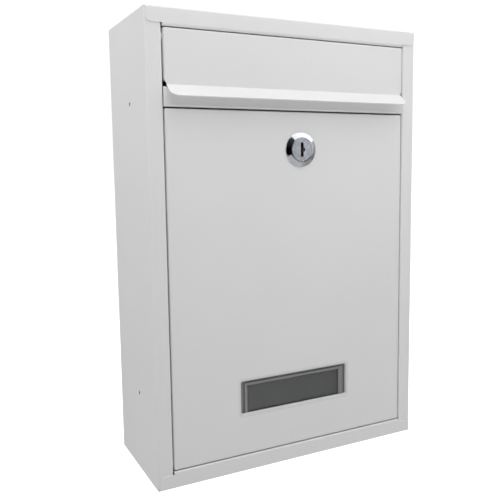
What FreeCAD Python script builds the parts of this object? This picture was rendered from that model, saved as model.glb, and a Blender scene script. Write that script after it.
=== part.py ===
import FreeCAD, Part
import Sketcher
import math
import os

# Wall letter box in folded sheet steel: a casing with a letter flap above a
# bottom-hinged door, a cam lock and a name window.
# Frame: origin at the middle of the four wall holes on the back face,
# +Y into the wall (the front faces -Y), +X to the right of someone facing the
# front, +Z up. Millimetres.

V = FreeCAD.Vector
doc = FreeCAD.newDocument("letter_box")
dims = doc.addObject("Spreadsheet::Sheet", "dims")

CELLS = [
    # casing
    ("box_w", 216.0, "outside width"),
    ("box_d", 88.0, "outside depth"),
    ("box_h", 320.0, "outside height"),
    ("skin", 0.7, "sheet thickness"),
    ("bend_in", 0.5, "inside radius of a fold"),
    ("bend_out", 1.2, "outside radius of a fold"),
    ("side_flange", 11.0, "width of the side flanges"),
    ("side_return", 12.0, "depth of the inner returns"),
    ("flange_end", 2.0, "relief at the ends of the side flanges"),
    ("cap_flange", 9.8, "height of the top and bottom flanges"),
    ("cap_roll", 1.9, "further drop of the rolled edge between the side flanges, and its outside radius"),
    ("base_roll_r", 0.9, "outside radius of the bottom flange's rolled edge"),
    ("cap_roll_deep", 2.1, "depth of the rolled edge"),
    ("cap_roll_gap", 0.6, "gap from the rolled edge to the side flanges' returns"),
    ("cap_corner", 4.2, "corner radius of the top and bottom flanges"),
    ("cap_gap", 0.1, "play between a cap and the shell"),
    ("cap_skirt", 12.0, "height of the welding skirts on the caps"),
    ("cap_nip", 0.75, "corner cut at the rear of a cap"),
    ("skirt_front", 70.0, "front end of the side skirts, from the back"),
    ("skirt_rear", 12.0, "rear end of the side skirts, from the back"),
    ("wall_hole_x", 150.0, "wall holes, spacing across"),
    ("wall_hole_z", 200.0, "wall holes, spacing up"),
    ("wall_hole_r", 3.0, "wall hole radius"),
    ("side_hole_z", 204.0, "side holes, spacing up"),
    ("side_hole_y", 49.4, "side holes, distance from the back"),
    ("side_hole_r", 1.6, "side hole radius"),
    # leaves (flap and door)
    ("leaf_w", 192.2, "width of flap and door"),
    # flap
    ("flap_shift", 0.3, "how far the flap sits to the right of the middle"),
    ("flap_top", 147.7, "top of the flap"),
    ("flap_fold", 111.9, "fold between flap and lip"),
    ("flap_deep", 8.0, "depth of the flap's returns"),
    ("flap_relief", 115.5, "lower end of the flap's side returns"),
    ("flap_axis_z", 142.5, "height of the flap's axis"),
    ("flap_axis_in", 4.2, "flap's axis behind its face"),
    ("lip_w", 189.2, "width of the lip"),
    ("lip_out", 10.0, "how far the lip stands out"),
    ("lip_drop", 7.6, "how far the lip drops"),
    ("lip_corner", 6.0, "corner radius of the lip"),
    # rail
    ("rail_w", 193.2, "width of the rail's sheet"),
    ("rail_low", 97.9, "bottom of the rail"),
    ("rail_top", 110.4, "top of the rail's face"),
    ("rail_deep", 16.4, "depth of the rail"),
    ("rail_hook", 8.0, "height of the rail's rear edge"),
    ("rail_step", 1.1, "step from the rail's face to its upstand"),
    ("rail_stop", 117.4, "top of the upstand behind the flap"),
    ("rail_stop_w", 176.0, "width of the upstand"),
    ("rail_tab_in", 3.2, "front of the rail's end tabs behind its face"),
    ("rail_tab_h", 11.4, "height of the rail's end tabs"),
    # door
    ("door_top", 96.8, "top of the door"),
    ("door_low", 147.7, "bottom of the door, below the middle"),
    ("door_deep", 12.0, "depth of the door's returns"),
    ("door_axis_z", 142.8, "door's axis, below the middle"),
    ("door_axis_in", 4.7, "door's axis behind its face"),
    # hinge pins
    ("pin_r", 2.0, "pin radius"),
    ("pin_seat", 2.02, "radius of a pin's seat in the shell"),
    ("pin_bore", 2.08, "radius of a pin's hole in a leaf"),
    ("pin_collar_r", 2.5, "collar radius"),
    ("pin_head_r", 2.65, "head radius"),
    ("pin_head_t", 1.2, "head thickness"),
    ("pin_end", 93.6, "inner end of a pin from the middle"),
    ("pin_play", 0.15, "play between collar and leaf"),
    # lock
    ("lock_at_x", 5.2, "lock axis, right of the middle"),
    ("lock_at_z", 70.3, "lock axis, above the middle"),
    ("head_r", 12.5, "radius of the lock's head"),
    ("head_rim", 0.6, "height of the head's rim"),
    ("head_out", 2.4, "how far the head stands out"),
    ("head_top_r", 8.95, "radius of the head's front edge"),
    ("head_round", 0.8, "rounding of the head"),
    ("head_crown", 2.0, "rounding of the head's front edge"),
    ("face_r", 8.3, "radius of the plug's face"),
    ("face_out", 2.3, "how far the plug's face stands out"),
    ("face_t", 1.8, "thickness of the plug's face"),
    ("face_play", 0.12, "play around the plug's face"),
    ("barrel_r", 9.0, "radius of the barrel"),
    ("barrel_flat", 16.0, "width over the barrel's flats"),
    ("barrel_end", 16.5, "rear of the barrel behind the door's face"),
    ("bore_play", 0.15, "play of the barrel in the door"),
    ("groove_r", 7.6, "radius of the clip groove"),
    ("groove_w", 1.2, "width of the clip groove"),
    ("plug_r", 6.5, "radius of the plug"),
    ("plug_play", 0.05, "play of the plug in its bore"),
    ("tail_w", 7.0, "width of the square tail"),
    ("tail_play", 0.05, "play on the tail"),
    ("tail_end", 18.95, "rear of the tail behind the door's face"),
    ("key_w", 2.3, "width of the keyway"),
    ("key_h", 10.4, "height of the keyway"),
    ("key_rib_r", 1.5, "radius of the keyway's side groove"),
    ("key_rib_x", 1.0, "middle of the side groove"),
    ("key_end", 10.0, "rear of the keyway behind the door's face"),
    ("key_rib_deep", 1.1, "depth of the side groove"),
    ("key_round", 0.9, "rounding of the keyway's corners"),
    ("stop_r", 6.7, "radius of the stop washer"),
    ("stop_lug_r", 7.8, "reach of the stop lug"),
    ("stop_lug_w", 2.2, "width of the stop lug"),
    ("stop_t", 0.8, "thickness of the stop washer"),
    ("boss_in", 6.9, "inner radius of the stop boss"),
    ("boss_out", 7.9, "outer radius of the stop boss"),
    ("boss_turn", 156.0, "span of the stop boss"),
    ("cam_w", 16.0, "width of the cam"),
    ("cam_tip", 35.0, "reach of the cam"),
    ("cam_back", 9.0, "rear end of the cam"),
    ("cam_t", 1.8, "thickness of the cam"),
    ("cam_round", 6.0, "rounding at the cam's hub"),
    ("tip_round", 3.0, "rounding at the cam's tip"),
    ("disc_r", 4.6, "radius of the cam washer"),
    ("disc_t", 0.8, "thickness of the cam washer"),
    ("screw_r", 2.0, "radius of the cam screw"),
    ("screw_head_r", 3.9, "radius of the screw's head"),
    ("screw_head_t", 2.4, "thickness of the screw's head"),
    ("screw_round", 1.2, "rounding of the screw's head"),
    ("screw_in", 11.8, "front end of the screw behind the door's face"),
    ("tap_r", 2.04, "radius of the tapped hole"),
    ("tap_in", 11.0, "front end of the tapped hole behind the door's face"),
    ("slot_w", 0.9, "width of the cross recess"),
    ("slot_l", 4.4, "length of the cross recess"),
    ("slot_d", 1.3, "depth of the cross recess"),
    ("clip_w", 25.0, "width of the clip"),
    ("clip_up", 12.5, "height of the clip above the axis"),
    ("clip_down", 11.0, "height of the clip below the axis"),
    ("clip_t", 1.0, "thickness of the clip"),
    ("clip_play", 0.05, "play of the clip in its groove"),
    ("clip_round", 4.0, "corner radius of the clip"),
    # name window
    ("win_w", 89.0, "width of the window"),
    ("win_top", 94.0, "top of the window, below the middle"),
    ("win_low", 117.4, "bottom of the window, below the middle"),
    ("win_roll", 1.6, "outside radius of the rolled edge"),
    ("win_deep", 1.7, "depth of the rolled edge"),
    ("win_corner", 1.2, "corner radius of the window"),
    ("frame_w", 99.0, "width of the holder"),
    ("frame_top", 88.8, "top of the holder, below the middle"),
    ("frame_low", 122.4, "bottom of the holder, below the middle"),
    ("frame_in", 1.75, "front of the holder's plate behind the door's face"),
    ("frame_out", 4.8, "rear of the holder behind the door's face"),
    ("recess_w", 88.6, "width of the recess behind the window"),
    ("recess_top", 94.2, "top of the recess, below the middle"),
    ("recess_low", 119.2, "bottom of the recess, below the middle"),
    ("recess_in", 2.5, "floor of the recess behind the door's face"),
    ("ring_w", 83.2, "width of the raised rim"),
    ("ring_top", 95.5, "top of the raised rim, below the middle"),
    ("ring_low", 117.2, "bottom of the rim's front, below the middle"),
    ("ring_in", 1.1, "front of the raised rim behind the door's face"),
    ("sight_low", 118.6, "bottom of the sight, below the middle"),
    ("ring_flat", 0.3, "width of the rim's flat front"),
    ("bevel_w", 2.2, "width of the side bevels"),
    ("bevel_h", 1.8, "height of the top bevel"),
    ("bevel_d", 1.0, "depth of the bevels"),
    ("pocket_w", 82.2, "width of the pocket"),
    ("pocket_top", 96.2, "top of the pocket, below the middle"),
    ("pocket_in", 2.6, "front of the pocket behind the door's face"),
    ("pocket_out", 3.7, "rear of the pocket behind the door's face"),
    ("pane_w", 81.8, "width of the pane"),
    ("pane_top", 96.5, "top of the pane, below the middle"),
    ("pane_low", 122.0, "bottom of the pane, below the middle"),
    ("pane_t", 0.5, "thickness of the pane"),
    ("insert_t", 0.4, "thickness of the insert"),
]


class Size:
    """A size as its number and as the cell expression that it comes from."""

    def __init__(self, v, s):
        self.v, self.s = float(v), s

    def __add__(self, o):
        o = size(o)
        return Size(self.v + o.v, "(%s + %s)" % (self.s, o.s))

    def __sub__(self, o):
        o = size(o)
        return Size(self.v - o.v, "(%s - %s)" % (self.s, o.s))

    def __mul__(self, o):
        o = size(o)
        return Size(self.v * o.v, "(%s * %s)" % (self.s, o.s))

    def __truediv__(self, o):
        o = size(o)
        return Size(self.v / o.v, "(%s / %s)" % (self.s, o.s))

    def __radd__(self, o):
        return size(o) + self

    def __rsub__(self, o):
        return size(o) - self

    def __rmul__(self, o):
        return size(o) * self

    def __neg__(self):
        return Size(-self.v, "(0 - %s)" % self.s)

    def root(self):
        return Size(math.sqrt(self.v), "sqrt(%s)" % self.s)


def size(x):
    return x if isinstance(x, Size) else Size(x, "(%.9g)" % x)


class Dims:
    pass


d = Dims()
for row, (alias, value, note) in enumerate(CELLS, start=1):
    dims.set("A%d" % row, note)
    dims.set("B%d" % row, "%g" % value)
    dims.setAlias("B%d" % row, alias)
    setattr(d, alias, Size(value, "dims.%s" % alias))
doc.recompute()

half_w = d.box_w / 2
half_h = d.box_h / 2
face = d.skin - d.box_d            # front face of side flanges, flap and door
mouth = half_w - d.side_flange     # half width of the front opening
leaf = d.leaf_w / 2


# ---------------------------------------------------------------- helpers

def body(name):
    b = doc.addObject("PartDesign::Body", name)
    b.Label = name
    return b


def move(b, x=None, y=None, z=None):
    for key, q in (("x", x), ("y", y), ("z", z)):
        if q is not None:
            b.setExpression("Placement.Base." + key, size(q).s)


def sketch(b, name, plane, lift=None):
    sk = b.newObject("Sketcher::SketchObject", name)
    sup = [f for f in b.Origin.OriginFeatures if f.Role == plane][0]
    sk.AttachmentSupport = (sup, [""])
    sk.MapMode = "FlatFace"
    if lift is not None:
        sk.AttachmentOffset = FreeCAD.Placement(V(0, 0, lift.v), FreeCAD.Rotation())
        sk.setExpression("AttachmentOffset.Base.z", lift.s)
    return sk


def pin_point(sk, geo, pos, x, y):
    """Ties a sketch point to the sheet."""
    x, y = size(x), size(y)
    for kind, q, axis in (("DistanceX", x, -2), ("DistanceY", y, -1)):
        if abs(q.v) < 1e-9:
            sk.addConstraint(Sketcher.Constraint("PointOnObject", geo, pos, axis))
        else:
            c = sk.addConstraint(Sketcher.Constraint(kind, -1, 1, geo, pos, q.v))
            sk.setExpression("Constraints[%d]" % c, q.s)


def polygon(sk, pts):
    pts = [(size(x), size(y)) for x, y in pts]
    n, g0 = len(pts), sk.GeometryCount
    for i in range(n):
        a, b2 = pts[i], pts[(i + 1) % n]
        sk.addGeometry(Part.LineSegment(V(a[0].v, a[1].v, 0), V(b2[0].v, b2[1].v, 0)), False)
    for i in range(n):
        sk.addConstraint(Sketcher.Constraint("Coincident", g0 + i, 2, g0 + (i + 1) % n, 1))
    for i, (x, y) in enumerate(pts):
        pin_point(sk, g0 + i, 1, x, y)


def pad(b, name, sk, length, side="One side", back=False):
    f = b.newObject("PartDesign::Pad", name)
    f.Profile = (sk, [""])
    f.SideType = side
    f.Reversed = back
    f.setExpression("Length", length.s)
    doc.recompute()
    return f


def pocket_all(b, name, sk, length=None):
    f = b.newObject("PartDesign::Pocket", name)
    f.Profile = (sk, [""])
    f.Type = "Length"
    f.SideType = "Symmetric"
    f.setExpression("Length", (length or 3 * d.box_d).s)
    doc.recompute()
    return f


def turn(b, name, sk, axis="H_Axis"):
    f = b.newObject("PartDesign::Revolution", name)
    f.Profile = (sk, [""])
    f.ReferenceAxis = (sk, [axis])
    f.Angle = 360
    doc.recompute()
    return f


def block(b, name, x, y, z, cut=False):
    f = b.newObject("PartDesign::SubtractiveBox" if cut else "PartDesign::AdditiveBox", name)
    for key, (lo, hi), base in (("Length", x, "x"), ("Width", y, "y"), ("Height", z, "z")):
        lo, hi = size(lo), size(hi)
        f.setExpression(key, (hi - lo).s)
        f.setExpression("Placement.Base." + base, lo.s)
    doc.recompute()
    return f


TILT = {"x": FreeCAD.Rotation(V(0, 1, 0), 90), "y": FreeCAD.Rotation(V(1, 0, 0), -90)}


def rod(b, name, axis, start, end, at, r, cut=False, span=None, first=0):
    """Cylinder along X or Y from start to end; at = the two other coordinates."""
    f = b.newObject("PartDesign::SubtractiveCylinder" if cut else "PartDesign::AdditiveCylinder", name)
    start, end = size(start), size(end)
    f.Placement = FreeCAD.Placement(V(0, 0, 0), TILT[axis] * FreeCAD.Rotation(V(0, 0, 1), first))
    f.setExpression("Height", (end - start).s)
    f.setExpression("Radius", size(r).s)
    if span is not None:
        f.setExpression("Angle", span.s)
    others = [k for k in "xyz" if k != axis]
    f.setExpression("Placement.Base." + axis, start.s)
    for k, q in zip(others, at):
        f.setExpression("Placement.Base." + k, size(q).s)
    doc.recompute()
    return f


def straight(axis, **at):
    """Test for a straight edge along an axis whose middle has these coordinates."""
    def test(e):
        if e.Degenerated or not isinstance(e.Curve, Part.Line):
            return False
        t = e.tangentAt(e.FirstParameter)
        if abs(abs(getattr(t, axis)) - 1) > 1e-6:
            return False
        m = e.valueAt((e.FirstParameter + e.LastParameter) / 2)
        return all(abs(getattr(m, k) - size(q).v) < 2e-3 for k, q in at.items())
    return test


def middle(x, y, z, tol=0.02):
    def test(e):
        if e.Degenerated:
            return False
        m = e.valueAt((e.FirstParameter + e.LastParameter) / 2)
        return (m - V(size(x).v, size(y).v, size(z).v)).Length < tol
    return test


def ring(r, y, tol=2e-3):
    """Test for a circle about the Y axis."""
    def test(e):
        return (not e.Degenerated and isinstance(e.Curve, Part.Circle) and abs(e.Curve.Radius - size(r).v) < tol
                and abs(e.Curve.Center.y - size(y).v) < tol)
    return test


def fillet(b, name, base, radius, *tests):
    names = ["Edge%d" % (i + 1) for i, e in enumerate(base.Shape.Edges)
             if any(t(e) for t in tests)]
    if not names:
        raise RuntimeError("no edge for " + name)
    f = b.newObject("PartDesign::Fillet", name)
    f.Base = (base, names)
    f.setExpression("Radius", size(radius).s)
    doc.recompute()
    if not f.isValid():
        raise RuntimeError("%s: %d edges, %s" % (name, len(names), f.getStatusString()))
    return f


def both(q):
    return (-size(q), size(q))


parts = []


def keep(b):
    parts.append(b)
    return b


# ---------------------------------------------------------------- casing

# body shell: sides and back folded from one sheet
b = keep(body("body_shell"))
sk = sketch(b, "shell_section", "XY_Plane")
t = d.skin
rear = face + d.side_return
right = [(half_w, 0), (half_w, face), (mouth, face), (mouth, rear), (mouth + t, rear),
         (mouth + t, face + t), (half_w - t, face + t), (half_w - t, -t)]
polygon(sk, right + [(-size(x), y) for x, y in reversed(right)])
f = pad(b, "shell_sheet", sk, d.box_h, "Symmetric")
f = fillet(b, "shell_folds_out", f, d.bend_out,
           *[straight("z", x=s * x, y=y) for s in (1, -1)
             for x, y in ((half_w, 0), (half_w, face), (mouth, face))])
f = fillet(b, "shell_folds_in", f, d.bend_in,
           *[straight("z", x=s * x, y=y) for s in (1, -1)
             for x, y in ((half_w - t, -t), (half_w - t, face + t), (mouth + t, face + t))])
for s, tag in ((1, "top"), (-1, "low")):
    lo, hi = half_h - d.flange_end, half_h + 1
    block(b, "flange_end_" + tag, both(half_w - t), (face - 1, rear + 1),
          (lo, hi) if s > 0 else (-hi, -lo), cut=True)
for s, tag in ((1, "top"), (-1, "low")):
    rod(b, "side_hole_" + tag, "x", -half_w - 1, half_w + 1,
        (-d.side_hole_y, s * d.side_hole_z / 2), d.side_hole_r, cut=True)
for sx in (1, -1):
    for sz in (1, -1):
        rod(b, "wall_hole", "y", -5, 5, (sx * d.wall_hole_x / 2, sz * d.wall_hole_z / 2),
            d.wall_hole_r, cut=True)
rod(b, "flap_seat", "x", -mouth - 3, mouth + 3, (face + d.flap_axis_in, d.flap_axis_z), d.pin_seat, cut=True)
rod(b, "door_seat", "x", -mouth - 3, mouth + 3, (face + d.door_axis_in, -d.door_axis_z), d.pin_seat, cut=True)


# top and bottom: trays whose front flange laps over the side flanges
def tray(name, s):
    b = keep(body(name))
    sk = sketch(b, name + "_section", "YZ_Plane")
    inner = half_w - t - d.cap_gap     # also the half width of the front flange
    back = -(t + d.cap_gap)
    low = half_h - d.cap_flange
    skirt = half_h - d.cap_skirt
    edge = low - d.cap_roll
    roll = -d.box_d + d.cap_roll_deep
    pts = [(-d.box_d, edge), (roll, edge), (roll, edge + t), (-d.box_d + t, edge + t),
           (-d.box_d + t, half_h - t), (back - t, half_h - t),
           (back - t, skirt), (back, skirt), (back, half_h), (-d.box_d, half_h)]
    polygon(sk, [(y, s * size(z)) for y, z in pts])
    f = pad(b, name + "_sheet", sk, 2 * inner, "Symmetric")
    f = fillet(b, name + "_folds_out", f, d.bend_out,
               straight("x", y=-d.box_d, z=s * half_h), straight("x", y=back, z=s * half_h))
    f = fillet(b, name + "_folds_in", f, d.bend_in,
               straight("x", y=-d.box_d + t, z=s * (half_h - t)),
               straight("x", y=back - t, z=s * (half_h - t)))
    # the flange's edge is rolled inwards between the side flanges and flat where it laps over them
    roll_r = d.cap_roll if s > 0 else d.base_roll_r
    f = fillet(b, name + "_roll_out", f, roll_r, straight("x", y=-d.box_d, z=s * edge))
    f = fillet(b, name + "_roll_in", f, roll_r - t, straight("x", y=-d.box_d + t, z=s * (edge + t)))
    for side in (1, -1):
        xs = (mouth - d.cap_roll_gap, inner + 1) if side > 0 else (-inner - 1, d.cap_roll_gap - mouth)
        zs = (edge - 1, low) if s > 0 else (-low, 1 - edge)
        f = block(b, name + "_lap", xs, (-d.box_d - 1, roll + 1), zs, cut=True)
    f = fillet(b, name + "_corners", f, d.cap_corner,
               straight("y", x=inner, z=s * low), straight("y", x=-inner, z=s * low))
    for side in (1, -1):
        xs = (inner - t, inner) if side > 0 else (-inner, t - inner)
        lo, hi = skirt, half_h
        f = block(b, name + "_skirt", xs, (-d.skirt_front, -d.skirt_rear), (lo, hi) if s > 0 else (-hi, -lo))
    fillet(b, name + "_skirt_folds", f, d.bend_in,
           straight("y", x=inner - t, z=s * (half_h - t)), straight("y", x=t - inner, z=s * (half_h - t)))
    # the rear corners clear the inside of the shell's folds
    sk = sketch(b, name + "_corner_outline", "XY_Plane", s * half_h)
    for side in (1, -1):
        polygon(sk, [(side * (inner - d.cap_nip), back), (side * (inner - d.cap_nip), back + 1),
                     (side * (inner + 1), back + 1), (side * (inner + 1), back - d.cap_nip),
                     (side * inner, back - d.cap_nip)])
    pocket_all(b, name + "_corner_cut", sk, 2 * (d.cap_skirt + 1))


tray("top_panel", 1)
tray("bottom_panel", -1)

# cross rail between flap and door
b = keep(body("cross_rail"))
sk = sketch(b, "rail_section", "YZ_Plane")
step = face + d.rail_step
end = face + d.rail_deep
polygon(sk, [(face, d.rail_low), (end, d.rail_low), (end, d.rail_low + d.rail_hook),
             (end - t, d.rail_low + d.rail_hook), (end - t, d.rail_low + t), (face + t, d.rail_low + t),
             (face + t, d.rail_top - t), (step + t, d.rail_top - t), (step + t, d.rail_stop),
             (step, d.rail_stop), (step, d.rail_top), (face, d.rail_top)])
f = pad(b, "rail_sheet", sk, d.rail_w, "Symmetric")
f = fillet(b, "rail_folds_out", f, d.bend_out,
           straight("x", y=face, z=d.rail_low), straight("x", y=end, z=d.rail_low))
f = fillet(b, "rail_folds_in", f, d.bend_in,
           straight("x", y=face + t, z=d.rail_low + t), straight("x", y=end - t, z=d.rail_low + t))
f = fillet(b, "rail_top_edge", f, d.skin * 0.8, straight("x", y=face, z=d.rail_top))
for s in (1, -1):
    lo, hi = d.rail_stop_w / 2, leaf + 1
    block(b, "stop_end", (lo, hi) if s > 0 else (-hi, -lo), (step - 0.001, step + t + 1),
          (d.rail_top - 0.001, d.rail_stop + 1), cut=True)
tab_y = (face + d.rail_tab_in, rear - 0.2)
for s in (1, -1):
    lo, hi = leaf - 0.5, mouth - d.cap_gap
    block(b, "rail_foot", (lo, hi) if s > 0 else (-hi, -lo), tab_y, (d.rail_low, d.rail_low + t))
    lo = hi - t
    block(b, "rail_tab", (lo, hi) if s > 0 else (-hi, -lo), tab_y, (d.rail_low, d.rail_low + d.rail_tab_h))

# ---------------------------------------------------------------- letter flap

b = keep(body("flap"))
deep = face + d.flap_deep
f = block(b, "flap_outside", both(leaf), (face, deep), (d.flap_fold, d.flap_top))
f = fillet(b, "flap_folds_out", f, d.bend_out,
           straight("x", y=face, z=d.flap_top),
           *[straight(k, **{"x": s * leaf, **m}) for s in (1, -1)
             for k, m in (("z", {"y": face}), ("y", {"z": d.flap_top}))])
f = block(b, "flap_inside", both(leaf - t), (face + t, deep + 1), (d.flap_fold - 1, d.flap_top - t), cut=True)
f = fillet(b, "flap_folds_in", f, d.bend_in,
           straight("x", y=face + t, z=d.flap_top - t),
           *[straight(k, **{"x": s * (leaf - t), **m}) for s in (1, -1)
             for k, m in (("z", {"y": face + t}), ("y", {"z": d.flap_top - t}))])
# lip: runs out and down from the fold
lip_l = (d.lip_out * d.lip_out + d.lip_drop * d.lip_drop).root()
co, si = d.lip_out / lip_l, d.lip_drop / lip_l
tip_y, tip_z = face - d.lip_out, d.flap_fold - d.lip_drop
under_y, under_z = tip_y + t * si, tip_z - t * co
heel_z = d.flap_fold - t * (1 - si) / co
sk = sketch(b, "lip_section", "YZ_Plane")
polygon(sk, [(face, d.flap_fold + 0.6), (face, d.flap_fold), (tip_y, tip_z), (under_y, under_z),
             (face + t, heel_z), (face + t, d.flap_fold + 0.6)])
f = pad(b, "lip_sheet", sk, d.lip_w, "Symmetric")
sk = sketch(b, "flap_relief_outline", "XZ_Plane")
for s in (1, -1):
    polygon(sk, [(s * d.lip_w / 2, d.flap_fold - 2), (s * (leaf + 2), d.flap_fold - 2),
                 (s * (leaf + 2), d.flap_relief), (s * leaf, d.flap_relief),
                 (s * d.lip_w / 2, d.flap_fold + 0.5)])
f = pocket_all(b, "flap_relief_cut", sk)
f = fillet(b, "lip_fold_in", f, d.bend_in, straight("x", y=face, z=d.flap_fold))
f = fillet(b, "lip_fold_out", f, d.bend_out, straight("x", y=face + t, z=heel_z))
f = fillet(b, "lip_corners", f, d.lip_corner,
           *[middle(s * d.lip_w / 2, (tip_y + under_y) / 2, (tip_z + under_z) / 2) for s in (1, -1)])
rod(b, "flap_bore", "x", -leaf - 1, leaf + 1, (face + d.flap_axis_in, d.flap_axis_z), d.pin_bore, cut=True)
move(b, x=d.flap_shift)

# ---------------------------------------------------------------- door

b = keep(body("door"))
deep = face + d.door_deep
f = block(b, "door_outside", both(leaf), (face, deep), (-d.door_low, d.door_top))
f = fillet(b, "door_folds_out", f, d.bend_out,
           straight("x", y=face, z=d.door_top), straight("x", y=face, z=-d.door_low),
           *[straight(k, **{"x": s * leaf, **m}) for s in (1, -1)
             for k, m in (("z", {"y": face}), ("y", {"z": d.door_top}), ("y", {"z": -d.door_low}))])
f = block(b, "door_inside", both(leaf - t), (face + t, deep + 1), (t - d.door_low, d.door_top - t), cut=True)
f = fillet(b, "door_folds_in", f, d.bend_in,
           straight("x", y=face + t, z=d.door_top - t), straight("x", y=face + t, z=t - d.door_low),
           *[straight(k, **{"x": s * (leaf - t), **m}) for s in (1, -1)
             for k, m in (("z", {"y": face + t}), ("y", {"z": d.door_top - t}), ("y", {"z": t - d.door_low}))])
# window with an edge rolled inwards
win = d.win_w / 2
f = block(b, "window_roll", both(win + t), (face + t / 2, face + d.win_deep), (-d.win_low - t, -d.win_top + t))
f = fillet(b, "window_roll_corners", f, d.win_corner + d.skin,
           *[straight("y", x=s * (win + t), z=z) for s in (1, -1) for z in (-d.win_low - t, -d.win_top + t)])
f = block(b, "window_cut", both(win), (face - 1, face + d.win_deep + 1), (-d.win_low, -d.win_top), cut=True)
f = fillet(b, "window_corners", f, d.win_corner,
           *[straight("y", x=s * win, z=z) for s in (1, -1) for z in (-d.win_low, -d.win_top)])


def loop_at(y, half, low, top, tol=2e-3):
    """Test for the edges of a round-cornered outline lying in a plane of constant y."""
    def test(e):
        if e.Degenerated:
            return False
        ys = [e.valueAt(e.FirstParameter + (e.LastParameter - e.FirstParameter) * k / 4).y for k in range(5)]
        if any(abs(q - size(y).v) > tol for q in ys):
            return False
        bb = e.BoundBox
        return (max(abs(bb.XMin), abs(bb.XMax)) < size(half).v + tol
                and bb.ZMin > size(low).v - tol and bb.ZMax < size(top).v + tol)
    return test


f = fillet(b, "window_fold_in", f, d.win_roll - d.skin,
           loop_at(face + t, win + t, -d.win_low - t, -d.win_top + t))
f = fillet(b, "window_fold_out", f, d.win_roll, loop_at(face, win, -d.win_low, -d.win_top))
# lock hole: round with two flats
sk = sketch(b, "lock_hole_outline", "XZ_Plane")
hole_r, hole_f = d.barrel_r + d.bore_play, d.barrel_flat / 2 + d.bore_play
ang = math.acos(hole_f.v / hole_r.v)
cx, cz = d.lock_at_x, d.lock_at_z
circle = Part.Circle(V(cx.v, cz.v, 0), V(0, 0, 1), hole_r.v)
reach = hole_r.v * math.sin(ang)
sk.addGeometry(Part.ArcOfCircle(circle, ang, math.pi - ang), False)
sk.addGeometry(Part.LineSegment(V(cx.v - hole_f.v, cz.v + reach, 0), V(cx.v - hole_f.v, cz.v - reach, 0)), False)
sk.addGeometry(Part.ArcOfCircle(circle, math.pi + ang, 2 * math.pi - ang), False)
sk.addGeometry(Part.LineSegment(V(cx.v + hole_f.v, cz.v - reach, 0), V(cx.v + hole_f.v, cz.v + reach, 0)), False)
for g, h in ((0, 1), (1, 2), (2, 3), (3, 0)):
    sk.addConstraint(Sketcher.Constraint("Coincident", g, 2, h, 1))
sk.addConstraint(Sketcher.Constraint("Coincident", 0, 3, 2, 3))
sk.addConstraint(Sketcher.Constraint("Vertical", 1))
sk.addConstraint(Sketcher.Constraint("Vertical", 3))
pin_point(sk, 0, 3, cx, cz)
c = sk.addConstraint(Sketcher.Constraint("Radius", 0, hole_r.v))
sk.setExpression("Constraints[%d]" % c, hole_r.s)
for g, sgn in ((1, -1), (3, 1)):
    q = cx + sgn * hole_f
    c = sk.addConstraint(Sketcher.Constraint("DistanceX", -1, 1, g, 1, q.v))
    sk.setExpression("Constraints[%d]" % c, q.s)
pocket_all(b, "lock_hole", sk)
rod(b, "door_bore", "x", -leaf - 1, leaf + 1, (face + d.door_axis_in, -d.door_axis_z), d.pin_bore, cut=True)

# ---------------------------------------------------------------- hinge pins


def hinge_pin(name, s, y, z, shift=0):
    b = keep(body(name))
    sk = sketch(b, name + "_section", "XY_Plane")
    collar = leaf + s * size(shift) + d.pin_play
    seat = mouth + d.skin
    top = seat + d.pin_head_t
    pts = [(d.pin_end, 0), (d.pin_end, d.pin_r - 0.3), (d.pin_end + 0.3, d.pin_r), (collar, d.pin_r),
           (collar, d.pin_collar_r), (mouth, d.pin_collar_r), (mouth, d.pin_r), (seat, d.pin_r),
           (seat, d.pin_head_r), (top - 0.3, d.pin_head_r), (top, d.pin_head_r - 0.3), (top, 0)]
    polygon(sk, [(s * size(x), r) for x, r in pts])
    turn(b, name + "_turned", sk)
    move(b, y=y, z=z)


for tag, s in (("left", -1), ("right", 1)):
    hinge_pin("flap_pin_" + tag, s, face + d.flap_axis_in, d.flap_axis_z, d.flap_shift)
for tag, s in (("left", -1), ("right", 1)):
    hinge_pin("door_pin_" + tag, s, face + d.door_axis_in, -d.door_axis_z)

# ---------------------------------------------------------------- lock
# drawn about the Y axis and moved to the lock's axis

b = keep(body("lock_housing"))
sk = sketch(b, "housing_section", "YZ_Plane")
bore = d.plug_r + d.plug_play
cup = d.face_r + d.face_play
g0 = face + d.skin
polygon(sk, [(face, d.barrel_r), (face, d.head_r), (face - d.head_rim, d.head_r),
             (face - d.head_out, d.head_top_r), (face - d.head_out, cup),
             (face - d.face_out + d.face_t + 0.1, cup), (face - d.face_out + d.face_t + 0.1, bore),
             (face + d.barrel_end, bore), (face + d.barrel_end, d.barrel_r), (g0 + d.groove_w, d.barrel_r),
             (g0 + d.groove_w, d.groove_r), (g0, d.groove_r), (g0, d.barrel_r)])
f = turn(b, "housing_turned", sk)
f = fillet(b, "head_rounding", f, d.head_round, ring(d.head_r, face - d.head_rim))
f = fillet(b, "head_edge", f, d.head_crown, ring(d.head_top_r, face - d.head_out))
for s in (1, -1):
    lo, hi = d.barrel_flat / 2, d.barrel_r + 1
    block(b, "barrel_flat", (lo, hi) if s > 0 else (-hi, -lo), (face, face + d.barrel_end + 1),
          both(d.barrel_r + 1), cut=True)
# stop boss for the lug of the stop washer
boss_y = face + d.barrel_end
rod(b, "stop_boss", "y", boss_y - 0.5, boss_y + d.stop_t, (0, 0), d.boss_out, span=d.boss_turn, first=102)
rod(b, "stop_race", "y", boss_y, boss_y + d.stop_t + 1, (0, 0), d.boss_in, cut=True)
rod(b, "bore_clear", "y", face, boss_y + 1, (0, 0), bore, cut=True)
move(b, x=d.lock_at_x, z=d.lock_at_z)

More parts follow.
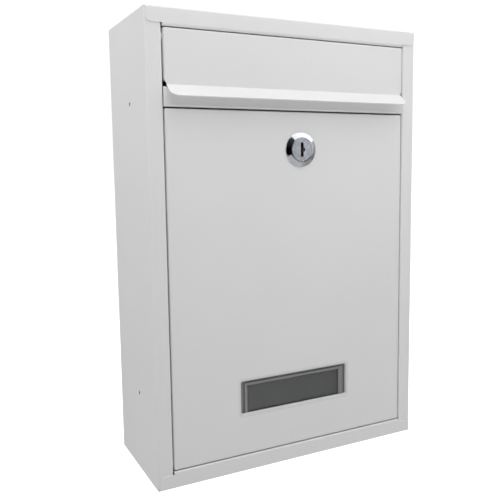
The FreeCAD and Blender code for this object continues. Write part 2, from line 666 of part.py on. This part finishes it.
b = keep(body("lock_plug"))
sk = sketch(b, "plug_section", "YZ_Plane")
plug_rear = face + d.barrel_end - 0.05
polygon(sk, [(face - d.face_out, 0), (face - d.face_out, d.face_r), (face - d.face_out + d.face_t, d.face_r),
             (face - d.face_out + d.face_t, d.plug_r), (plug_rear, d.plug_r), (plug_rear, 0)])
f = turn(b, "plug_turned", sk)
f = fillet(b, "face_edge", f, d.skin * 0.4, ring(d.face_r, face - d.face_out))
block(b, "tail", both(d.tail_w / 2), (plug_rear - 1, face + d.tail_end), both(d.tail_w / 2))
kw, kh = d.key_w / 2, d.key_h / 2
f = block(b, "keyway", both(kw), (face - d.face_out - 1, face + d.key_end), both(kh), cut=True)
fillet(b, "keyway_ends", f, d.key_round, straight("y", x=kw, z=kh), straight("y", x=-kw, z=kh),
       straight("y", x=kw, z=-kh), straight("y", x=-kw, z=-kh))
rod(b, "keyway_side", "y", face - d.face_out - 1, face - d.face_out + d.key_rib_deep, (d.key_rib_x, 0), d.key_rib_r, cut=True)
rod(b, "tapped_hole", "y", face + d.tap_in, face + d.tail_end + 1, (0, 0), d.tap_r, cut=True)
move(b, x=d.lock_at_x, z=d.lock_at_z)

b = keep(body("stop_washer"))
w0 = face + d.barrel_end + 0.05
w1 = w0 + d.stop_t
rod(b, "stop_disc", "y", w0, w1, (0, 0), d.stop_r)
block(b, "stop_lug", both(d.stop_lug_w / 2), (w0, w1), (0, d.stop_lug_r))
block(b, "stop_hole", both(d.tail_w / 2 + d.tail_play), (w0 - 1, w1 + 1), both(d.tail_w / 2 + d.tail_play), cut=True)
move(b, x=d.lock_at_x, z=d.lock_at_z)

b = keep(body("lock_cam"))
c1 = w1 + d.cam_t
sk = sketch(b, "cam_outline", "XZ_Plane", -c1)
hw = d.cam_w / 2
polygon(sk, [(-hw, -d.cam_tip), (hw, -d.cam_tip), (hw, d.cam_back), (-hw, d.cam_back)])
f = pad(b, "cam_plate", sk, d.cam_t)
f = fillet(b, "cam_hub", f, d.cam_round, straight("y", x=hw, z=d.cam_back), straight("y", x=-hw, z=d.cam_back))
f = fillet(b, "cam_end", f, d.tip_round, straight("y", x=hw, z=-d.cam_tip), straight("y", x=-hw, z=-d.cam_tip))
block(b, "cam_hole", both(d.tail_w / 2 + d.tail_play), (w1 - 1, c1 + 1), both(d.tail_w / 2 + d.tail_play), cut=True)
move(b, x=d.lock_at_x, z=d.lock_at_z)

b = keep(body("cam_washer"))
v1 = c1 + d.disc_t
rod(b, "washer_disc", "y", c1, v1, (0, 0), d.disc_r)
rod(b, "washer_hole", "y", c1 - 1, v1 + 1, (0, 0), d.screw_r + 0.2, cut=True)
move(b, x=d.lock_at_x, z=d.lock_at_z)

b = keep(body("cam_screw"))
h1 = v1 + d.screw_head_t
sk = sketch(b, "screw_section", "YZ_Plane")
polygon(sk, [(face + d.screw_in, 0), (face + d.screw_in, d.screw_r - 0.4), (face + d.screw_in + 0.4, d.screw_r),
             (v1, d.screw_r), (v1, d.screw_head_r), (h1, d.screw_head_r), (h1, 0)])
f = turn(b, "screw_turned", sk)
f = fillet(b, "screw_crown", f, d.screw_round, ring(d.screw_head_r, h1))
block(b, "cross_a", both(d.slot_w / 2), (h1 - d.slot_d, h1 + 1), both(d.slot_l / 2), cut=True)
block(b, "cross_b", both(d.slot_l / 2), (h1 - d.slot_d, h1 + 1), both(d.slot_w / 2), cut=True)
move(b, x=d.lock_at_x, z=d.lock_at_z)

b = keep(body("lock_clip"))
k0 = g0 + d.clip_play
k1 = k0 + d.clip_t
f = block(b, "clip_plate", both(d.clip_w / 2), (k0, k1), (-d.clip_down, d.clip_up))
f = fillet(b, "clip_corners", f, d.clip_round,
           *[straight("y", x=s * d.clip_w / 2, z=z) for s in (1, -1) for z in (-d.clip_down, d.clip_up)])
gap = d.groove_r + d.clip_play
rod(b, "clip_seat", "y", k0 - 1, k1 + 1, (0, 0), gap, cut=True)
block(b, "clip_mouth", both(gap), (k0 - 1, k1 + 1), (-d.clip_down - 1, 0), cut=True)
move(b, x=d.lock_at_x, z=d.lock_at_z)

# ---------------------------------------------------------------- name plate

b = keep(body("name_frame"))
block(b, "frame_plate", both(d.frame_w / 2), (face + d.frame_in, face + d.frame_out), (-d.frame_low, -d.frame_top))
block(b, "recess", both(d.recess_w / 2), (face + d.frame_in - 1, face + d.recess_in), (-d.recess_low, -d.recess_top), cut=True)
block(b, "rim", both(d.ring_w / 2), (face + d.ring_in, face + d.recess_in + 0.1), (-d.recess_low - 0.1, -d.ring_top))
block(b, "rim_foot", both(d.ring_w / 2 + 0.5), (face, face + d.frame_in), (-d.recess_low - 1, -d.ring_low), cut=True)
fa = d.ring_w / 2 - d.ring_flat
fb = fa - d.bevel_w
ft = d.ring_top + d.ring_flat
s1 = sketch(b, "sight_front", "XZ_Plane", -(face + d.ring_in))
polygon(s1, [(-fa, -d.sight_low), (fa, -d.sight_low), (fa, -ft), (-fa, -ft)])
s2 = sketch(b, "sight_rear", "XZ_Plane", -(face + d.ring_in + d.bevel_d))
polygon(s2, [(-fb, -d.sight_low), (fb, -d.sight_low), (fb, -ft - d.bevel_h), (-fb, -ft - d.bevel_h)])
lf = b.newObject("PartDesign::SubtractiveLoft", "sight_bevel")
lf.Profile = (s1, [""])
lf.Sections = [(s2, [""])]
lf.Ruled = True
doc.recompute()
block(b, "sight", both(fb), (face + d.ring_in + d.bevel_d - 0.001, face + d.pocket_in + 0.1),
      (-d.sight_low, -ft - d.bevel_h), cut=True)
block(b, "pocket", both(d.pocket_w / 2), (face + d.pocket_in, face + d.pocket_out),
      (-d.frame_low - 1, -d.pocket_top), cut=True)

b = keep(body("name_window"))
p0 = face + d.pocket_in + 0.05
block(b, "pane", both(d.pane_w / 2), (p0, p0 + d.pane_t), (-d.pane_low, -d.pane_top))

b = keep(body("name_insert"))
i0 = p0 + d.pane_t + 0.05
block(b, "strip", both(d.pane_w / 2), (i0, i0 + d.insert_t), (-d.pane_low, -d.pane_top))

# ---------------------------------------------------------------- check and write

doc.recompute()
bad = []
for o in doc.Objects:
    if "Invalid" in o.State or "Error" in o.State:
        bad.append("%s %s" % (o.Name, o.State))
for b in parts:
    if b.Shape.isNull() or not b.Shape.isValid() or len(b.Shape.Solids) != 1:
        bad.append("%s: shape not one valid solid (%d)" % (b.Label, len(b.Shape.Solids)))
if bad:
    raise RuntimeError("; ".join(bad))

os.makedirs("parts", exist_ok=True)
for b in parts:
    b.Shape.exportStep("parts/%s.step" % b.Label)
    print("%-16s %8.1f mm3" % (b.Label, b.Shape.Volume))
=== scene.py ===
import math

import bpy
import bmesh
from mathutils import Matrix, Vector


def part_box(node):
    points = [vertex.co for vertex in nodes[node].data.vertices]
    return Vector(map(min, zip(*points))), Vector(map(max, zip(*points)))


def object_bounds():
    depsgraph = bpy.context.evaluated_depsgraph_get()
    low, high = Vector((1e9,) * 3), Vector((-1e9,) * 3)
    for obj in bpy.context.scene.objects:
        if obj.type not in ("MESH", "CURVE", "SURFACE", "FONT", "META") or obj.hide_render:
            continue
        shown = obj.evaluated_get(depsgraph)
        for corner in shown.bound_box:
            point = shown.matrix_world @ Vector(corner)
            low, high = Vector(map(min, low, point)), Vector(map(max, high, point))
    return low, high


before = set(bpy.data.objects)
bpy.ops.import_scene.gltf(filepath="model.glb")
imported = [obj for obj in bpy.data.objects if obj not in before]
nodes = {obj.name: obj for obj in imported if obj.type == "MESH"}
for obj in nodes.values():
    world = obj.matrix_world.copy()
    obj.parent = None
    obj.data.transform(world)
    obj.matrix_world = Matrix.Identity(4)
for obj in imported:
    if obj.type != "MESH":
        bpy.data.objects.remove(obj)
cad_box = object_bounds()
scene = bpy.context.scene

# ------------------------------------------------------------------ node helpers


def new_material(name):
    m = bpy.data.materials.new(name)
    m.use_nodes = True
    nt = m.node_tree
    nt.nodes.clear()
    out = nt.nodes.new("ShaderNodeOutputMaterial")
    sh = nt.nodes.new("ShaderNodeBsdfPrincipled")
    nt.links.new(sh.outputs["BSDF"], out.inputs["Surface"])
    co = nt.nodes.new("ShaderNodeTexCoord")
    return m, nt, sh, co.outputs["Object"]


def noise(nt, vec, scale, detail=2.0, rough=0.5, dist=0.0):
    n = nt.nodes.new("ShaderNodeTexNoise")
    n.inputs["Scale"].default_value = scale
    n.inputs["Detail"].default_value = detail
    n.inputs["Roughness"].default_value = rough
    n.inputs["Distortion"].default_value = dist
    nt.links.new(vec, n.inputs["Vector"])
    return n.outputs["Fac"]


def mapping(nt, vec, scale=(1, 1, 1), loc=(0, 0, 0)):
    n = nt.nodes.new("ShaderNodeMapping")
    n.inputs["Scale"].default_value = scale
    n.inputs["Location"].default_value = loc
    nt.links.new(vec, n.inputs["Vector"])
    return n.outputs["Vector"]


def ramp(nt, fac, lo, hi, a, b):
    n = nt.nodes.new("ShaderNodeMapRange")
    n.inputs["From Min"].default_value = lo
    n.inputs["From Max"].default_value = hi
    n.inputs["To Min"].default_value = a
    n.inputs["To Max"].default_value = b
    nt.links.new(fac, n.inputs["Value"])
    return n.outputs["Result"]


def mix_rgb(nt, fac, a, b, blend="MIX"):
    n = nt.nodes.new("ShaderNodeMix")
    n.data_type = "RGBA"
    n.blend_type = blend
    for sock, val in ((n.inputs[6], a), (n.inputs[7], b)):
        if isinstance(val, (tuple, list)):
            sock.default_value = (*val[:3], 1.0)
        else:
            nt.links.new(val, sock)
    if isinstance(fac, (int, float)):
        n.inputs[0].default_value = fac
    else:
        nt.links.new(fac, n.inputs[0])
    return n.outputs[2]


def math_node(nt, op, a, b=None, clamp=False):
    n = nt.nodes.new("ShaderNodeMath")
    n.operation = op
    n.use_clamp = clamp
    for i, val in enumerate((a, b)):
        if val is None:
            continue
        if isinstance(val, (int, float)):
            n.inputs[i].default_value = val
        else:
            nt.links.new(val, n.inputs[i])
    return n.outputs[0]


def bump(nt, height, strength, distance, normal=None):
    n = nt.nodes.new("ShaderNodeBump")
    n.inputs["Strength"].default_value = strength
    n.inputs["Distance"].default_value = distance
    nt.links.new(height, n.inputs["Height"])
    if normal is not None:
        nt.links.new(normal, n.inputs["Normal"])
    return n.outputs["Normal"]


# ------------------------------------------------------------------ materials


def white_paint(name="white_powder_coat", painted_shade_window=None):
    """Powder coat; around a window given as (x0, z0, x1, z1) a painted shade greys the coat towards its drawn-in
    edge, standing in for the shade of the rolled rim.
    """
    m, nt, sh, co = new_material(name)
    broad = noise(nt, co, 9.0, 3.0, 0.55)
    fine = noise(nt, co, 900.0, 2.0, 0.6)
    peel = noise(nt, co, 430.0, 1.5, 0.45)
    wave = noise(nt, co, 42.0, 1.0, 0.4)
    tone = mix_rgb(nt, ramp(nt, broad, 0.3, 0.7, 0.0, 1.0), (0.804, 0.806, 0.804), (0.834, 0.834, 0.831))
    tone = mix_rgb(nt, ramp(nt, fine, 0.55, 0.8, 0.0, 0.10), tone, (0.70, 0.70, 0.695))
    if painted_shade_window:
        x0, z0, x1, z1 = painted_shade_window
        sep = nt.nodes.new("ShaderNodeSeparateXYZ")
        nt.links.new(co, sep.inputs[0])
        away = []
        for axis, a, b in (("X", x0, x1), ("Z", z0, z1)):
            off = math_node(nt, "ABSOLUTE", math_node(nt, "SUBTRACT", sep.outputs[axis], (a + b) / 2))
            away.append(math_node(nt, "MAXIMUM", math_node(nt, "SUBTRACT", off, (b - a) / 2), 0.0))
        far = math_node(nt, "SQRT", math_node(nt, "ADD", math_node(nt, "POWER", away[0], 2.0),
                                              math_node(nt, "POWER", away[1], 2.0)))
        # painted shade: within 3.4 mm of the window's edge the coat is mixed up to 45 % towards grey 0.40, darkest at
        # the edge
        window_shade = math_node(nt, "POWER", ramp(nt, far, 0.0, 0.0034, 1.0, 0.0), 1.4)
        tone = mix_rgb(nt, math_node(nt, "MULTIPLY", window_shade, 0.45), tone, (0.40, 0.40, 0.40))
    nt.links.new(tone, sh.inputs["Base Color"])
    rough = math_node(nt, "ADD", ramp(nt, broad, 0.3, 0.7, 0.46, 0.54), ramp(nt, fine, 0.3, 0.7, -0.03, 0.03))
    nt.links.new(rough, sh.inputs["Roughness"])
    n1 = bump(nt, wave, 0.05, 0.0006)
    n2 = bump(nt, peel, 0.09, 0.00025, n1)
    nt.links.new(n2, sh.inputs["Normal"])
    sh.inputs["IOR"].default_value = 1.48
    sh.inputs["Specular IOR Level"].default_value = 0.5
    return m


def chrome():
    m, nt, sh, co = new_material("polished_chrome")
    haze = noise(nt, co, 260.0, 3.0, 0.6)
    scr = noise(nt, mapping(nt, co, (900, 900, 5200)), 1.0, 3.0, 0.6)
    nt.links.new(mix_rgb(nt, ramp(nt, haze, 0.35, 0.7, 0.0, 1.0), (0.80, 0.82, 0.86), (0.71, 0.725, 0.76)),
                 sh.inputs["Base Color"])
    nt.links.new(math_node(nt, "ADD", ramp(nt, haze, 0.3, 0.7, 0.05, 0.12), ramp(nt, scr, 0.45, 0.75, 0.0, 0.05)),
                 sh.inputs["Roughness"])
    nt.links.new(bump(nt, scr, 0.04, 0.00004), sh.inputs["Normal"])
    sh.inputs["Metallic"].default_value = 1.0
    return m


def plug_metal(cx, cz, front):
    """Satin nickel with fine turning rings about the lock's axis, brassy and dull inside the keyway."""
    m, nt, sh, co = new_material("satin_nickel")
    off = mapping(nt, co, (1, 0, 1), (-cx, 0, -cz))
    ln = nt.nodes.new("ShaderNodeVectorMath")
    ln.operation = "LENGTH"
    nt.links.new(off, ln.inputs[0])
    rings = math_node(nt, "SINE", math_node(nt, "MULTIPLY", ln.outputs["Value"], 2 * math.pi / 0.00035))
    haze = noise(nt, co, 320.0, 4.0, 0.6)
    jitter = noise(nt, co, 2500.0, 2.0, 0.6)
    sep = nt.nodes.new("ShaderNodeSeparateXYZ")
    nt.links.new(co, sep.inputs[0])
    inside = ramp(nt, sep.outputs["Y"], front + 0.0004, front + 0.0009, 0.0, 1.0)
    tone = mix_rgb(nt, ramp(nt, haze, 0.3, 0.7, 0.0, 1.0), (0.68, 0.705, 0.78), (0.58, 0.60, 0.665))
    nt.links.new(mix_rgb(nt, inside, tone, (0.26, 0.235, 0.18)), sh.inputs["Base Color"])
    rough = math_node(nt, "ADD", ramp(nt, haze, 0.3, 0.7, 0.22, 0.32), ramp(nt, jitter, 0.3, 0.7, -0.03, 0.03))
    nt.links.new(math_node(nt, "ADD", rough, math_node(nt, "MULTIPLY", inside, 0.25)), sh.inputs["Roughness"])
    h = math_node(nt, "ADD", math_node(nt, "MULTIPLY", rings, 0.5), jitter)
    nt.links.new(bump(nt, h, 0.06, 0.00003), sh.inputs["Normal"])
    sh.inputs["Metallic"].default_value = 1.0
    return m


def zinc():
    m, nt, sh, co = new_material("zinc_plated_steel")
    cloud = noise(nt, co, 120.0, 4.0, 0.6, 0.6)
    grain = noise(nt, co, 1800.0, 2.0, 0.5)
    drag = noise(nt, mapping(nt, co, (300, 300, 2600)), 1.0, 2.0, 0.5)
    tone = mix_rgb(nt, ramp(nt, cloud, 0.3, 0.7, 0.0, 1.0), (0.60, 0.62, 0.64), (0.66, 0.64, 0.58))
    nt.links.new(mix_rgb(nt, ramp(nt, drag, 0.45, 0.8, 0.0, 0.25), tone, (0.42, 0.43, 0.44)), sh.inputs["Base Color"])
    nt.links.new(math_node(nt, "ADD", ramp(nt, cloud, 0.3, 0.7, 0.28, 0.42), ramp(nt, grain, 0.3, 0.7, -0.04, 0.04)),
                 sh.inputs["Roughness"])
    nt.links.new(bump(nt, math_node(nt, "ADD", grain, drag), 0.08, 0.00004), sh.inputs["Normal"])
    sh.inputs["Metallic"].default_value = 1.0
    return m


def dark_plastic():
    m, nt, sh, co = new_material("dark_grey_moulding")
    spark = noise(nt, co, 2600.0, 2.0, 0.6)
    cloud = noise(nt, co, 60.0, 3.0, 0.5)
    nt.links.new(mix_rgb(nt, ramp(nt, cloud, 0.3, 0.7, 0.0, 1.0), (0.25, 0.25, 0.25), (0.29, 0.29, 0.29)),
                 sh.inputs["Base Color"])
    nt.links.new(math_node(nt, "ADD", ramp(nt, cloud, 0.3, 0.7, 0.34, 0.42), ramp(nt, spark, 0.3, 0.7, -0.04, 0.04)),
                 sh.inputs["Roughness"])
    nt.links.new(bump(nt, spark, 0.10, 0.00004), sh.inputs["Normal"])
    sh.inputs["IOR"].default_value = 1.5
    return m


def insert_card():
    m, nt, sh, co = new_material("dark_insert")
    fibre = noise(nt, mapping(nt, co, (500, 500, 1500)), 1.0, 4.0, 0.65)
    speck = noise(nt, co, 4200.0, 1.0, 0.5)
    tone = mix_rgb(nt, ramp(nt, fibre, 0.3, 0.75, 0.0, 1.0), (0.114, 0.114, 0.114), (0.129, 0.129, 0.129))
    nt.links.new(mix_rgb(nt, ramp(nt, speck, 0.6, 0.85, 0.0, 0.2), tone, (0.108, 0.108, 0.108)),
                 sh.inputs["Base Color"])
    nt.links.new(ramp(nt, fibre, 0.3, 0.7, 0.74, 0.84), sh.inputs["Roughness"])
    nt.links.new(bump(nt, fibre, 0.05, 0.00003), sh.inputs["Normal"])
    sh.inputs["Specular IOR Level"].default_value = 0.25
    return m


def clear_sheet():
    m, nt, sh, co = new_material("clear_sheet")
    smear = noise(nt, mapping(nt, co, (40, 40, 90)), 1.0, 3.0, 0.6)
    nt.links.new(mix_rgb(nt, ramp(nt, smear, 0.3, 0.7, 0.0, 1.0), (0.97, 0.98, 0.98), (0.94, 0.955, 0.955)),
                 sh.inputs["Base Color"])
    nt.links.new(ramp(nt, smear, 0.3, 0.7, 0.10, 0.18), sh.inputs["Roughness"])
    sh.inputs["Transmission Weight"].default_value = 1.0
    sh.inputs["IOR"].default_value = 1.35
    return m


lo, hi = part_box("lock_plug")
lock_x, lock_z = (lo.x + hi.x) / 2, (lo.z + hi.z) / 2

lo_i, hi_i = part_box("name_frame")
mid_x = (lo_i.x + hi_i.x) / 2
# the window in the door
# the door's coat carries a painted shade around this window
DOOR_PAINTED_SHADE = white_paint("white_powder_coat_door_painted_shade", (mid_x - 0.0445, -0.1174, mid_x + 0.0445, -0.0940))
WHITE, CHROME, PLUG, ZINC = white_paint(), chrome(), plug_metal(lock_x, lock_z, lo.y), zinc()
DARK, CARD, CLEAR = dark_plastic(), insert_card(), clear_sheet()

LOOK = {
    "body_shell": WHITE, "top_panel": WHITE, "bottom_panel": WHITE, "cross_rail": WHITE,
    "flap": WHITE, "door": DOOR_PAINTED_SHADE, "flap_pin_left": WHITE, "flap_pin_right": WHITE,
    "door_pin_left": WHITE, "door_pin_right": WHITE,
    "lock_housing": CHROME, "lock_plug": PLUG,
    "stop_washer": ZINC, "lock_cam": ZINC, "cam_washer": ZINC, "cam_screw": ZINC, "lock_clip": ZINC,
    "name_frame": DARK, "name_window": CLEAR, "name_insert": CARD,
}
for name, mat in LOOK.items():
    o = nodes[name]
    o.data.materials.clear()
    o.data.materials.append(mat)

# ------------------------------------------------------------------ stage, light, camera

# the box hangs on a wall: the floor lies below it, clear of the door when that swings down
floor_z = cad_box[0][2] - 0.10


def stage_floor():
    bm = bmesh.new()
    r = 30.0
    vs = [bm.verts.new((r * math.cos(a), r * math.sin(a), floor_z))
          for a in (i * 2 * math.pi / 96 for i in range(96))]
    bm.faces.new(vs)
    me = bpy.data.meshes.new("floor")
    bm.to_mesh(me)
    bm.free()
    o = bpy.data.objects.new("floor", me)
    scene.collection.objects.link(o)
    m, nt, sh, co = new_material("pale_floor")
    soft = noise(nt, co, 3.0, 2.0, 0.5)
    nt.links.new(mix_rgb(nt, soft, (0.93, 0.93, 0.93), (0.95, 0.95, 0.95)), sh.inputs["Base Color"])
    sh.inputs["Roughness"].default_value = 0.9
    sh.inputs["Specular IOR Level"].default_value = 0.0
    sh.inputs["Emission Color"].default_value = (1, 1, 1, 1)
    sh.inputs["Emission Strength"].default_value = 1.0
    # seen from below the floor is open, so that the underside can be looked at
    geo = nt.nodes.new("ShaderNodeNewGeometry")
    clear = nt.nodes.new("ShaderNodeBsdfTransparent")
    side = nt.nodes.new("ShaderNodeMixShader")
    nt.links.new(geo.outputs["Backfacing"], side.inputs[0])
    nt.links.new(sh.outputs["BSDF"], side.inputs[1])
    nt.links.new(clear.outputs["BSDF"], side.inputs[2])
    out = next(n for n in nt.nodes if n.type == "OUTPUT_MATERIAL")
    nt.links.new(side.outputs[0], out.inputs["Surface"])
    me.materials.append(m)
    # the floor is white without throwing its own light back up at the object
    o.visible_diffuse = False
    o.visible_glossy = False
    o.visible_transmission = False
    o.visible_shadow = False


stage_floor()

FRONT, SIDE = (0, -0.088, 0.05), (-0.108, -0.045, 0.05)
SOFTBOXES = [
    # name, place, aim, width, height, watts, seen in the chrome
    ("softbox_front_top", (0.538, -0.492, 0.58), (0.107, 0.06, 0.05), 1.30, 0.40, 1.90, True),
    ("softbox_front_left", (-0.25, -0.65, 0.55), FRONT, 0.50, 0.40, 1.453, False),
    ("softbox_top", (0.00, -0.27, 0.62), FRONT, 0.50, 0.30, 1.215, True),
    ("softbox_front_low", (0.15, -0.65, -0.25), FRONT, 0.50, 0.25, 0.584, False),
    ("softbox_right", (0.45, -0.55, 0.25), FRONT, 0.50, 0.50, 0.540, True),
    ("softbox_left_top", (-0.65, -0.05, 0.45), SIDE, 0.40, 0.50, 1.659, True),
    ("softbox_behind", (0.20, 0.80, 0.30), (0, 0, 0.02), 0.60, 0.60, 2.2, False),
    ("softbox_right_side", (0.85, 0.12, 0.35), (0.108, -0.045, 0.02), 0.40, 0.50, 1.9, False),
]
for name, loc, aim, wide, high, power, seen in SOFTBOXES:
    d = bpy.data.lights.new(name, "AREA")
    d.shape = "RECTANGLE"
    d.size, d.size_y = wide, high
    d.energy = power
    o = bpy.data.objects.new(name, d)
    o.location = loc
    o.rotation_euler = (Vector(aim) - Vector(loc)).to_track_quat("-Z", "Y").to_euler()
    o.visible_glossy = seen
    scene.collection.objects.link(o)


def studio(base, lobes, table):
    """Soft surroundings by direction; the backdrop itself is white. In gloss a plain table edge (height, softness,
    strength), fading to the right, stands in for the light from below."""
    w = bpy.data.worlds.new("studio")
    scene.world = w
    w.use_nodes = True
    wn = w.node_tree
    wn.nodes.clear()
    out = wn.nodes.new("ShaderNodeOutputWorld")
    bg = wn.nodes.new("ShaderNodeBackground")
    bg.inputs["Color"].default_value = (1, 1, 1, 1)
    wn.links.new(bg.outputs[0], out.inputs["Surface"])
    co = wn.nodes.new("ShaderNodeTexCoord")
    path = wn.nodes.new("ShaderNodeLightPath")
    level, low = base, 0.0
    for towards, power, amount in lobes:
        dot = wn.nodes.new("ShaderNodeVectorMath")
        dot.operation = "DOT_PRODUCT"
        wn.links.new(co.outputs["Generated"], dot.inputs[0])
        dot.inputs[1].default_value = Vector(towards).normalized()
        lobe = math_node(wn, "POWER", math_node(wn, "MAXIMUM", dot.outputs["Value"], 0.0), power)
        part = math_node(wn, "MULTIPLY", lobe, amount)
        if towards[2] < 0:
            low = math_node(wn, "ADD", part, low)
        else:
            level = math_node(wn, "ADD", part, level)
    sep = wn.nodes.new("ShaderNodeSeparateXYZ")
    wn.links.new(co.outputs["Generated"], sep.inputs[0])
    edge, soft, bright = table
    fade = ramp(wn, sep.outputs["X"], 0.40, 0.88, 1.0, 0.42)
    top = math_node(wn, "MULTIPLY", ramp(wn, sep.outputs["Z"], edge - soft, edge + soft, bright, 0.0), fade)
    below = wn.nodes.new("ShaderNodeMix")
    wn.links.new(path.outputs["Is Glossy Ray"], below.inputs[0])
    wn.links.new(low, below.inputs[2])
    wn.links.new(top, below.inputs[3])
    level = math_node(wn, "ADD", level, below.outputs[0])
    pick = wn.nodes.new("ShaderNodeMix")
    wn.links.new(path.outputs["Is Camera Ray"], pick.inputs[0])
    wn.links.new(level, pick.inputs[2])
    pick.inputs[3].default_value = 1.05
    wn.links.new(pick.outputs[0], bg.inputs["Strength"])


studio(0.0, [
    # towards, sharpness, strength
    ((0, 1, 0), 8, 1.10),
    ((0, 0, 1), 2, 0.108),
    ((0, 0, -1), 2, 0.650),
    ((-1, 0, 1), 4, 0.081),
    ((-1, 0, -1), 4, 1.300),
    ((1, -0.15, 0.45), 4, 0.50),
    ((0.2, -0.72, -0.66), 8, 0.33),
], (-0.335, 0.04, 0.51))

scene.view_settings.view_transform = "Standard"
scene.view_settings.look = "None"
scene.view_settings.exposure = 0.0
scene.view_settings.gamma = 1.0

# camera from the photograph's vanishing lines
AZ, EL, ROLL = math.radians(-27.287), math.radians(6.403), math.radians(-0.684)
F_PX, PPX, PPY = 648.45, 261.26, 237.16
CAM = Vector((-0.23550, -0.49144, 0.05974))
back = Vector((math.sin(AZ) * math.cos(EL), -math.cos(AZ) * math.cos(EL), math.sin(EL)))
rt = (-back).cross(Vector((0, 0, 1))).normalized()
up = rt.cross(-back)
c, s = math.cos(ROLL), math.sin(ROLL)
rt2, up2 = c * rt + s * up, -s * rt + c * up
cam_d = bpy.data.cameras.new("camera")
cam_d.sensor_fit = "HORIZONTAL"
cam_d.sensor_width = 36.0
cam_d.lens = F_PX / 500 * 36.0
cam_d.shift_x = -(PPX - 249.5) / 500
cam_d.shift_y = (PPY - 249.5) / 500
cam_d.clip_start, cam_d.clip_end = 0.01, 50
cam = bpy.data.objects.new("camera", cam_d)
m4 = Matrix((rt2, up2, back)).transposed().to_4x4()
m4.translation = CAM
cam.matrix_world = m4
scene.collection.objects.link(cam)
scene.camera = cam

bpy.context.view_layer.update()
